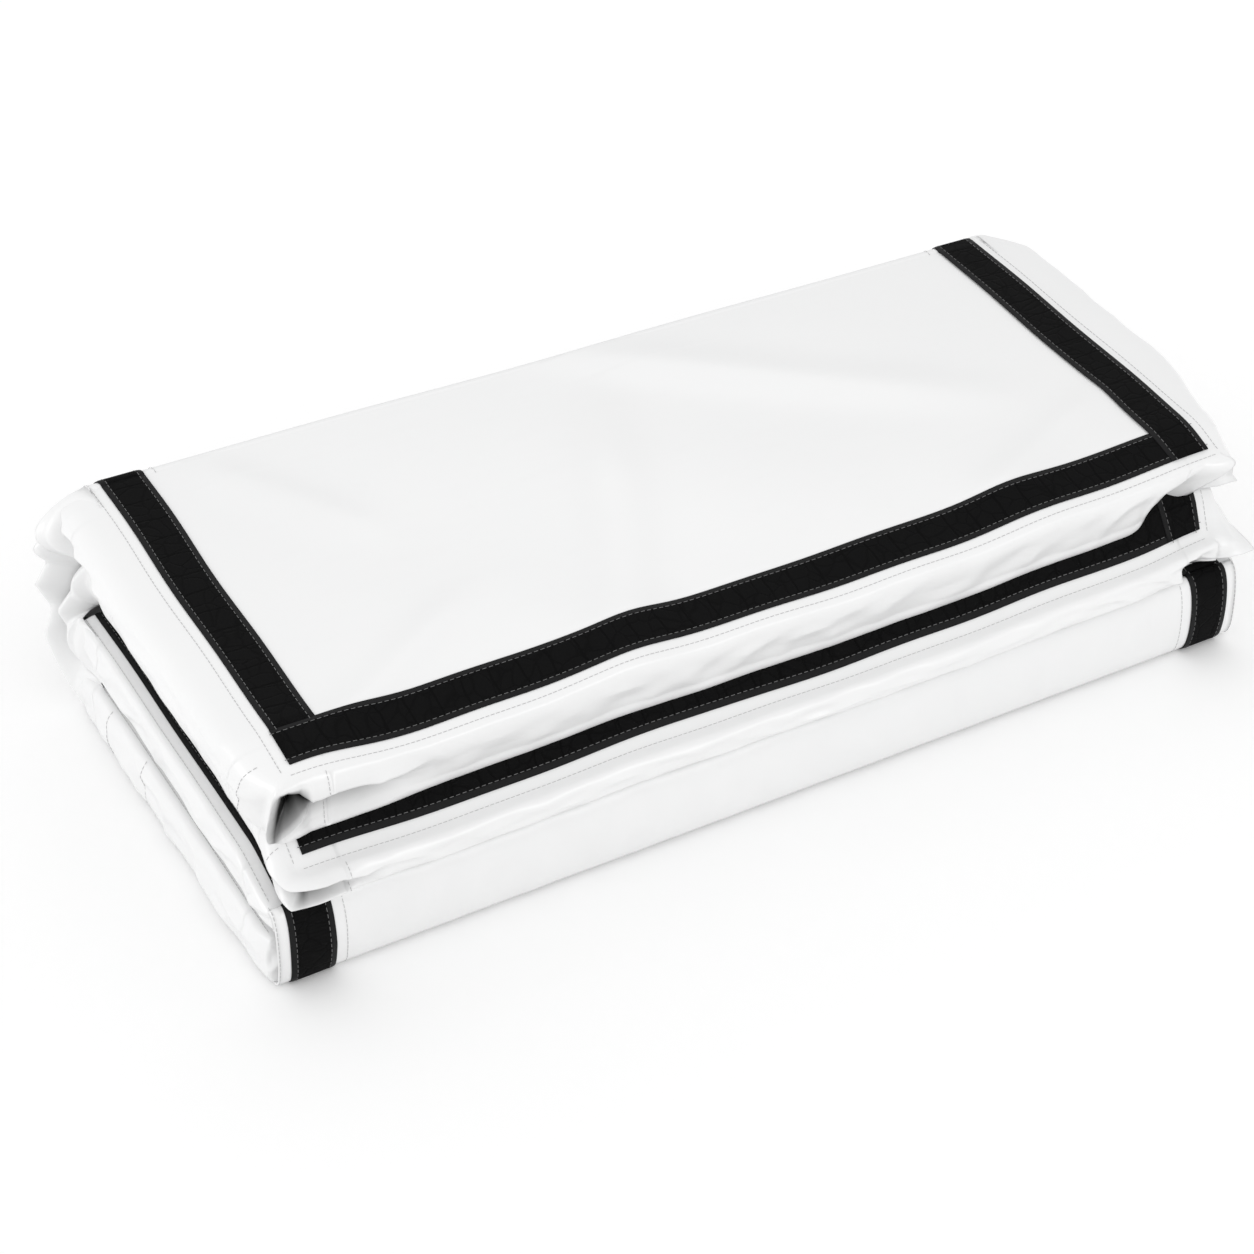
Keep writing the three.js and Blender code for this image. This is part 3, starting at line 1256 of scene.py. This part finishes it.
OUTER_CAP = {"left": (56 * MM, 44 * MM, 12 * MM), "right": (18 * MM, 14 * MM, 8 * MM)}
INNER_CAP = {"left": (18 * MM, 34 * MM, 12 * MM), "right": (6 * MM, 8 * MM, 5 * MM)}
OUTER_RIDGES = (0.10, 0.24, 0.41, 0.62)
TAPE_STITCH = (7.4 * MM, 4.6 * MM, 0.40 * MM)  # pitch, length and radius
COVER_STITCH = (6.0 * MM, 4.2 * MM, 0.3 * MM)
INNER_RIDGES = (0.2, 0.45, 0.85)


@dataclass
class Mat:
    """The folded mat: four panels, three fold webs, tape on both faces and all stitching."""

    finishes: Finishes
    panels: dict[str, CoverPanel] = field(default_factory=dict)
    seams: dict[str, Seams] = field(default_factory=dict)

    def __post_init__(self) -> None:
        """Makes the stitching groups, one of each thread for each body and for the outer fold."""
        pale = StitchTree("tape_stitching", self.finishes.pale_thread).make()
        grey = StitchTree("cover_stitching", self.finishes.grey_thread).make()
        for group in ("base", "top_leaf", "inner_leaf", "outer_fold"):
            self.seams[f"{group}_pale"] = Seams(f"{group}_tape_stitches", pale, *TAPE_STITCH)
            self.seams[f"{group}_grey"] = Seams(f"{group}_cover_stitches", grey, *COVER_STITCH)

    # ---- panels

    def add_panel(self, panel: CoverPanel) -> None:
        """Builds one panel's cover, the foam block in it and its cross seams."""
        cover = panel.make()
        finish_piece(cover, self.finishes.vinyl, panel.nodes())
        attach(cover, panel.body)
        foam = panel.foam()
        finish_piece(foam, self.finishes.foam, [f"{panel.name}_foam_core"])
        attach(foam, panel.body)
        self.panels[panel.name] = panel
        rows = np.linspace(*CROSS_SEAM)
        for edge, along in panel.seams_at:
            places = [panel.wall(edge, np.full_like(rows, along + shift), rows) for shift in (-1 * MM, 0.0, 1 * MM)]
            normal = np.cross(places[2] - places[0], np.gradient(places[1], axis=0))
            normal /= np.linalg.norm(normal, axis=1, keepdims=True)
            self.seams[f"{panel.body}_grey"].add(panel.local(places[1] - normal * 0.3 * MM))

    def add_face_tapes(self, panel: CoverPanel, upper: bool) -> None:
        """Sews the tapes to one face of a panel.

        Args:
            panel: the panel.
            upper: which face.
        """
        face = "above" if upper else "below"
        front_node = f"{panel.name}_front_tape_{face}"
        has_end = front_node in frame["nodes"]
        for side in ("left", "right"):
            over = side == "right" and has_end
            lift, overlap = (TAPE_TOP * 0.9, TAPE_WIDTH) if over else (SKIN_LIFT, 0.0)
            self.add_tape(panel, f"{panel.name}_{side}_tape_{face}", upper, True, lift, overlap)
        if has_end:
            self.add_tape(panel, front_node, upper, False, SKIN_LIFT, 0.0)

    def add_tape(self, panel: CoverPanel, node: str, upper: bool, lengthwise: bool, lift: float,
                 start: float) -> None:
        """Builds one tape with its two lines of stitches and the seam line beside it."""
        piece, surface, stations = panel_tape(panel, node, upper, lengthwise, lift, start)
        finish_piece(piece, self.finishes.tape, [node])
        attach(piece, panel.body)
        pale = self.seams[f"{panel.body}_pale"]
        for across in (-TAPE_SEWN_AT, TAPE_SEWN_AT):
            pale.add(seam_path(surface, stations, across, lift + TAPE_THICKNESS - THREAD_SUNK))
        low, high = panel.low, panel.high
        grey = self.seams[f"{panel.body}_grey"]
        if lengthwise:
            y = spaced(low.y + SEAM_ENDS, high.y - 4 * MM)
            x = np.full_like(y, low.x + SEAM_INSET if "_left_" in node else high.x - SEAM_INSET)
        else:
            x = spaced(low.x + SEAM_ENDS, high.x - SEAM_ENDS)
            y = np.full_like(x, low.y + SEAM_INSET)
        z = panel.face_height(x, y, upper) + (0.25 * MM if upper else -0.25 * MM)
        grey.add(panel.local(np.stack([x, y, z], axis=-1)))

    # ---- webs

    def add_web(self, name: str, roll: Roll, upper: CoverPanel, lower: CoverPanel, seed: int,
                nodes: list[str]) -> bpy.types.Object:
        """Builds a web of the cover between two panels."""
        ends = (upper.low.x, upper.high.x), (lower.low.x, lower.high.x)
        surface = web_surface(roll, *ends, seed)
        if roll.direction > 0:
            surface = flipped(surface)
        columns = np.linspace(-1.0, 1.0, WEB_COLUMNS)
        web = Strip(name, surface, roll.stations(), columns, WEB_THICKNESS, -WEB_THICKNESS * 0.5).make()
        finish_piece(web, self.finishes.vinyl, nodes)
        return web

    def add_wrap(self, name: str, roll: Roll, upper: str, lower: str, seed: int, nodes: list[str],
                 stitches: str) -> bpy.types.Object:
        """Builds a tape round a web, with its stitches.

        Args:
            name: the piece's name.
            roll: the web's path.
            upper: CAD node of the tape that it continues at its top.
            lower: CAD node of the tape that it continues at its bottom.
            seed: the web's wrinkle seed, so that the tape follows the same wrinkles.
            nodes: CAD nodes that it stands for.
            stitches: key of its stitching group.

        Returns:
            The tape's object.
        """
        ends = []
        for node in (upper, lower):
            low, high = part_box(node)
            ends.append((low[0], high[0]))
        surface = web_surface(roll, ends[0], ends[1], seed, WEB_THICKNESS * 0.5)
        if roll.direction > 0:
            surface = flipped(surface)
        tape = Strip(name, surface, roll.stations(36), TAPE_ACROSS, TAPE_THICKNESS, SKIN_LIFT, TAPE_RIM).make()
        finish_piece(tape, self.finishes.tape, nodes)
        run = roll.stations(48)
        for across in (-TAPE_SEWN_AT, TAPE_SEWN_AT):
            path = seam_path(surface, run, across, TAPE_TOP - THREAD_SUNK)
            self.seams[f"{stitches}_pale"].add(path)
        for across in (-1.5, 1.5):
            self.seams[f"{stitches}_grey"].add(seam_path(surface, run, across, 0.3 * MM))
        return tape

    def add_front_fold(self) -> None:
        """The fold between the two low panels, with its two tapes."""
        lower, bottom = self.panels["lower"], self.panels["bottom"]
        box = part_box("front_fold_web")
        top_edge, low_edge = lower.high.z - lower.droop_above, bottom.low.z + FLOOR_ROOM
        roll = Roll(box[1][1], box[1][1] - box[0][1], top_edge, low_edge, -1, 0.0, FRONT_TAIL)
        web = self.add_web("front_fold", roll, lower, bottom, FRONT_SEED, ["front_fold_web"])
        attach(web, "base")
        for side in ("left", "right"):
            nodes = [f"front_fold_{side}_tape"]
            above, below = f"lower_{side}_tape_above", f"bottom_{side}_tape_below"
            tape = self.add_wrap(f"front_fold_{side}_wrap", roll, above, below, FRONT_SEED, nodes, "base")
            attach(tape, "base")

    @staticmethod
    def back_roll(fold: str, top: float, bottom: float) -> Roll:
        """The path of the outer or the inner back fold, from its CAD node and the heights of its ends."""
        low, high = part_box(f"{fold}_fold_web_upper")
        return Roll(low[1], high[1] - low[1], top, bottom, 1, WEB_LEAD, WEB_LEAD)

    def add_back_folds(self) -> None:
        """The two nested folds at the back, with their tapes and end caps, built at rest on the base body."""
        top, bottom = self.panels["top"], self.panels["bottom"]
        upper, lower = self.panels["upper"], self.panels["lower"]
        hinge = next(joint for joint in frame["record"]["behaviour"]["joints"] if joint["name"] == "outer_fold")
        height = hinge["pos_m"][2]
        start, end = (0, 0, height - FOLD_BLEND), (0, 0, height + FOLD_BLEND)
        outer = self.back_roll("outer", top.high.z, bottom.low.z + FLOOR_ROOM)
        inner = self.back_roll("inner", upper.high.z, lower.low.z)
        halves = ("upper", "lower")
        webs = (
            ("outer", "top_leaf", outer, top, bottom, OUTER_SEED),
            ("inner", "inner_leaf", inner, upper, lower, INNER_SEED),
        )
        for fold, leaf, roll, above, below, seed in webs:
            nodes = [f"{fold}_fold_web_{half}" for half in halves]
            web = self.add_web(f"{fold}_fold_web", roll, above, below, seed, nodes)
            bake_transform(web)
            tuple(start)
            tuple(end)
            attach(web, "base")
        for side in ("left", "right"):
            nodes = [f"outer_fold_{half}_{side}_tape" for half in halves]
            above, below = f"top_{side}_tape_above", f"bottom_{side}_tape_below"
            tape = self.add_wrap(f"outer_fold_{side}_wrap", outer, above, below, OUTER_SEED, nodes, "outer_fold")
            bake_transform(tape)
            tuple(start)
            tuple(end)
            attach(tape, "base")
        rims = [Roll(roll.at, roll.bulge, roll.top, roll.bottom, 1, CAP_LEAD, CAP_LEAD) for roll in (outer, inner)]
        rims.append(Roll(inner.at, 6 * MM, upper.low.z + 2 * MM, upper.low.z - 6 * MM, 1, CAP_LEAD, CAP_LEAD))
        for side, corner in (("left", 0), ("right", 1)):
            edge = [(panel.low.x, panel.high.x)[corner] for panel in (top, upper, lower, bottom)]
            sign = (-1, 1)[corner]
            caps = (
                ("outer", "top_leaf", (edge[0], edge[3]), OUTER_CAP[side], OUTER_RIDGES, 16 * MM),
                ("inner", "inner_leaf", (edge[1], edge[2]), INNER_CAP[side], INNER_RIDGES, 7 * MM),
            )
            for layer, (name, leaf, ends, bulges, ridges, pleat) in enumerate(caps):
                cap = EndCap(sign, rims[layer], rims[layer + 1], ends, bulges, ridges, pleat)
                run, columns = np.linspace(-1.0, 2.0, CAP_STATIONS), np.linspace(-1.0, 1.0, CAP_COLUMNS)
                strip = Strip(f"{name}_fold_{side}_cap", cap.surface, run, columns, WEB_THICKNESS / 2,
                              -WEB_THICKNESS / 4)
                piece = strip.make()
                finish_piece(piece, self.finishes.vinyl, [])
                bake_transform(piece)
                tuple(start)
                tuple(end)
                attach(piece, "base")
        self.fold_span = start, end

    # ---- stitching

    def sew(self) -> None:
        """Turns every stitching group into a piece on its body."""
        for key, group in self.seams.items():
            if not group.paths:
                continue
            piece = group.make()
            body = key.rsplit("_", 1)[0]
            if body == "outer_fold":
                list(self.fold_span)
                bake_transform(piece)
                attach(piece, "base")
            else:
                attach(piece, body)
            LOG.info("%s: %d faces", piece.name, len(piece.data.polygons))


def top_front_left() -> Gather:
    """The top panel's collapsed front-left corner: a slot darkened by painted shade, and a flap under a lip."""
    return Gather(Edge.LEFT, Edge.FRONT, (
        Section(-43.2, EVEN, FLAT, FLAT),
        Section(-7.2, (0, .1, .3, .5, .7, .9, 1), (0, 2, 3, 3, 3, 2, 0), FLAT),
        Section(0, (0, .08, .15, .55, .94, .98, 1), (0, -2, -6, -9, -8, -6, -4), FLAT),
        Section(2.4, (0, .08, .16, .50, .90, .95, 1), (0, 0, 8, 30, -6, -6, -4), (0, .05, .6, 1, .5, .1, 0)),
        Section(7.2, (0, .08, .19, .44, .76, .87, 1), (0, 2, 12, 50, -9, -9, -6), (0, .05, .7, 1, .1, 0, 0)),
        Section(16.8, (0, .1, .25, .38, .53, .75, 1), (0, 1, 8, 50, -9, -10, -8), (0, .05, .5, 1, .1, 0, 0)),
        Section(24, (0, .14, .30, .36, .44, .7, 1), (0, -4, -10, 12, 0, -9, -9), (0, 0, .05, 1, .45, .04, 0)),
        Section(58, (0, .15, .30, .36, .46, .72, 1), (0, -5, -11, 5, 6, -1, -9), (0, 0, .04, 1, .42, .1, 0)),
        Section(103, (0, .15, .33, .39, .50, .75, 1), (0, -2, -8, 4, 6, 0, -6), (0, 0, 0, .7, .3, .06, 0)),
        Section(133, (0, .15, .36, .5, .6, .75, 1), (0, 0, -4, 4, 3, 0, -3), (0, 0, 0, .15, .08, 0, 0)),
        Section(163, EVEN, FLAT, FLAT),
    ))


def upper_front_left() -> Gather:
    """The second panel's front-left corner, pushed in to a point under its lip, with painted shade beneath it."""
    lip = (0, .08, .19, .24, .55, .8, 1)
    return Gather(Edge.LEFT, Edge.FRONT, (
        Section(-64, EVEN, FLAT, FLAT),
        Section(-36, (0, .1, .40, .5, .66, .84, 1), (0, -1, -4, 2, 1, 0, -2), FLAT),
        Section(-12, (0, .08, .22, .28, .55, .8, 1), (0, -3, -8, 14, 8, -2, -12), (0, 0, 0, .22, .12, .04, 0)),
        Section(0, lip, (0, -4, -9, 26, 14, -2, -17), (0, 0, 0, .4, .22, .1, 0)),
        Section(6, lip, (0, -4, -9, 40, 26, 6, -15), (0, 0, 0, .95, .8, .5, .1)),
        Section(12, lip, (0, -4, -9, 36, 20, 2, -13), (0, 0, 0, .85, .6, .3, 0)),
        Section(40, (0, .08, .21, .27, .55, .8, 1), (0, -3, -8, 24, 12, 0, -10), (0, 0, 0, .5, .22, .08, 0)),
        Section(70, (0, .1, .42, .5, .7, .85, 1), (0, 0, -4, 5, 2, 0, -3), (0, 0, 0, .12, .05, 0, 0)),
        Section(95, EVEN, FLAT, FLAT),
    ))


def front_right(ear: float, slot: float) -> Gather:
    """A front-right corner whose side wall stands out in a pointed ear over a mouth with painted shade.

    Args:
        ear: millimetres that the ear stands out.
        slot: how much shade is painted in the mouth beneath it.

    Returns:
        The gather.
    """
    front, side = (0, .2, .4, .6, .8, .93, 1), (0, .2, .4, .6, .74, .9, 1)
    return Gather(Edge.FRONT, Edge.RIGHT, (
        Section(-95, EVEN, FLAT, FLAT),
        Section(-52, front, (0, 0, 0, -4, -7, -5, 0), FLAT),
        Section(-44, front, (0, 0, 2, 10, 20, 24, 8), (0, 0, 0, .1, .3, .45, .5)),
        Section(-14, front, (0, 2, 8, 14, 20, 22, 6), (0, 0, .02, .08, .2, .4, slot)),
        Section(0, side, (0, -1, -4, -8, -12, 4, 4), (0, 0, 0, .04, .05, .4, slot)),
        Section(7, side, (0, -ear * .25, -ear * .5, -ear * .75, -ear, 0, 4), (0, 0, 0, 0, 0, .35, slot)),
        Section(26, side, (0, -ear * .15, -ear * .34, -ear * .5, -ear * .66, 2, 4), (0, 0, 0, 0, 0, .2, slot * .6)),
        Section(80, EVEN, FLAT, FLAT),
    ))


def back_left() -> Gather:
    """The gathers where a left wall meets the fold at the back, with painted shade low in the wall."""
    return Gather(Edge.BACK, Edge.LEFT, (
        Section(-30, EVEN, FLAT, FLAT),
        Section(0, EVEN, (0, 4, 14, 28, 36, 28, 0), (0, 0, .05, .1, .2, .3, 0)),
        Section(14.4, EVEN, (0, -6, 0, 22, 36, 30, 0), (0, 0, 0, .1, .25, .35, 0)),
        Section(31.2, EVEN, (0, 0, -5, 8, 32, 30, 0), (0, 0, 0, 0, .1, .35, 0)),
        Section(63, EVEN, (0, 0, 0, -4, 14, 26, 0), (0, 0, 0, 0, 0, .25, 0)),
        Section(108, EVEN, (0, 0, 0, 0, -4, 12, 0), (0, 0, 0, 0, 0, .1, 0)),
        Section(163, EVEN, FLAT, FLAT),
    ))


def panel_set() -> list[CoverPanel]:
    """The four panels, from the floor up, with each one's own slack."""
    top_folds = (
        SoftFold((0.34, -0.02), (0.50, 0.80), 40 * MM, 7.0 * MM),
        SoftFold((0.50, 1.02), (0.86, 0.42), 34 * MM, 7.0 * MM),
        SoftFold((0.10, 0.98), (0.22, 0.60), 30 * MM, 5.0 * MM),
        SoftFold((0.02, 0.02), (0.26, 0.36), 24 * MM, 4.5 * MM),
        SoftFold((0.74, 0.10), (0.96, 0.34), 26 * MM, 4.8 * MM),
    )
    return [
        CoverPanel("bottom", "base", (8 * MM, 11 * MM, 8 * MM, 12 * MM), seed=2, pinch=6 * MM,
                   seams_at=((Edge.LEFT, 96 * MM), (Edge.LEFT, 190 * MM))),
        CoverPanel("lower", "base", (8 * MM, 11 * MM, 8 * MM, 10 * MM), 32 * MM, seed=3, pinch=5 * MM,
                   lean=(0.0, 7 * MM)),
        CoverPanel("upper", "inner_leaf", (16 * MM, 20 * MM, 8 * MM, 16 * MM), 59 * MM, 32 * MM,
                   (upper_front_left(), front_right(58, .95)), side_taper=(1.0, 0.6), seed=4,
                   tuck=(-14 * MM, 10 * MM), fullness=4.0,
                   seams_at=((Edge.FRONT, 52 * MM), (Edge.LEFT, 462 * MM))),
        CoverPanel("top", "top_leaf", (12 * MM, 54 * MM, 9 * MM, 42 * MM), 12 * MM, 43 * MM,
                   (top_front_left(), front_right(84, .3), back_left()), folds=top_folds,
                   side_taper=(0.85, 0.3), seed=5, tuck=(-34 * MM, 24 * MM), fullness=4.5, lean=(20 * MM, 0.0),
                   seams_at=((Edge.FRONT, 44 * MM), (Edge.LEFT, 470 * MM))),
    ]


# ---------------------------------------------------------------- studio


# name, place in metres, side in metres and power in watts
LAMPS = (
    ("key", (1.4, 2.0, 3.0), 1.3, 5.0),
    ("front", (0.9, -3.4, 1.8), 1.6, 31.0),
    ("side", (-3.0, 0.2, 1.3), 1.2, 21.0),
)
MAT_MIDDLE = Vector((0.0, 0.0, 0.12))
FLOOR_REACH = 12.0


@dataclass(frozen=True)
class Studio:
    """A bright white studio. The sky alone lights its floor, so that the floor keeps the mat's soft shadow."""

    camera_at: Vector = Vector((-1.531, -2.690, 2.550))
    yaw: float = 28.91
    pitch: float = -38.81
    lens: float = 101.1
    unlit: bpy.types.Collection = field(default_factory=lambda: bpy.data.collections.new("lit_by_the_sky_alone"))

    def camera(self) -> None:
        """Places the camera."""
        data = bpy.data.cameras.new("view")
        data.lens = self.lens
        data.sensor_width = 36.0
        view = bpy.data.objects.new("view", data)
        view.location = self.camera_at
        view.rotation_euler = (math.radians(90.0 + self.pitch), 0.0, math.radians(-self.yaw))
        bpy.context.scene.collection.objects.link(view)
        bpy.context.scene.camera = view

    def lamp(self, name: str, place: tuple[float, float, float], size: float, power: float) -> None:
        """Adds a square soft light that faces the mat and leaves the floor unlit."""
        data = bpy.data.lights.new(name, "AREA")
        data.size = size
        data.energy = power
        lamp = bpy.data.objects.new(name, data)
        lamp.location = place
        aim = MAT_MIDDLE - lamp.location
        lamp.rotation_euler = aim.to_track_quat("-Z", "Y").to_euler()
        bpy.context.scene.collection.objects.link(lamp)
        lamp.light_linking.receiver_collection = self.unlit

    def floor(self) -> None:
        """Lays the pale floor, which the lamps leave out."""
        corners = np.array([(-1, -1, 0), (1, -1, 0), (1, 1, 0), (-1, 1, 0)], float) * FLOOR_REACH
        ground = build_mesh("studio_floor", corners, [(0, 1, 2, 3)], warp=False)
        shader = Shader("studio_white")
        haze = shader.noise(0.7, 1.0)
        shader.feed(shader.surface.inputs["Base Color"], shader.blend(haze, rgba(0.955), rgba(0.965)))
        shader.feed(shader.surface.inputs["Roughness"], 0.8 + haze * 0.1)
        shader.surface.inputs["Emission Color"].default_value = (1.0, 1.0, 1.0, 1.0)
        shader.surface.inputs["Emission Strength"].default_value = 0.10
        ground.data.materials.append(shader.material)
        self.unlit.objects.link(ground)
        self.unlit.collection_objects[0].light_linking.link_state = "EXCLUDE"

    def build(self) -> None:
        """Sets up the floor, the lights, the world and the camera."""
        self.floor()
        self.camera()
        world = bpy.data.worlds.new("studio")
        world.use_nodes = True
        sky = world.node_tree.nodes["Background"]
        sky.inputs["Color"].default_value = (1.0, 1.0, 1.0, 1.0)
        sky.inputs["Strength"].default_value = 0.96
        bpy.context.scene.world = world
        for lamp in LAMPS:
            self.lamp(*lamp)
        bpy.context.scene.view_settings.view_transform = "Standard"


def main() -> None:
    """Builds the studio and then the mat, from the floor up."""
    logging.basicConfig(level=logging.INFO)
    Studio().build()
    mat = Mat(Finishes.make())
    for panel in panel_set():
        mat.add_panel(panel)
        mat.add_face_tapes(panel, True)
        mat.add_face_tapes(panel, False)
    mat.add_front_fold()
    mat.add_back_folds()
    mat.sew()


if __name__ == "__main__":
    main()
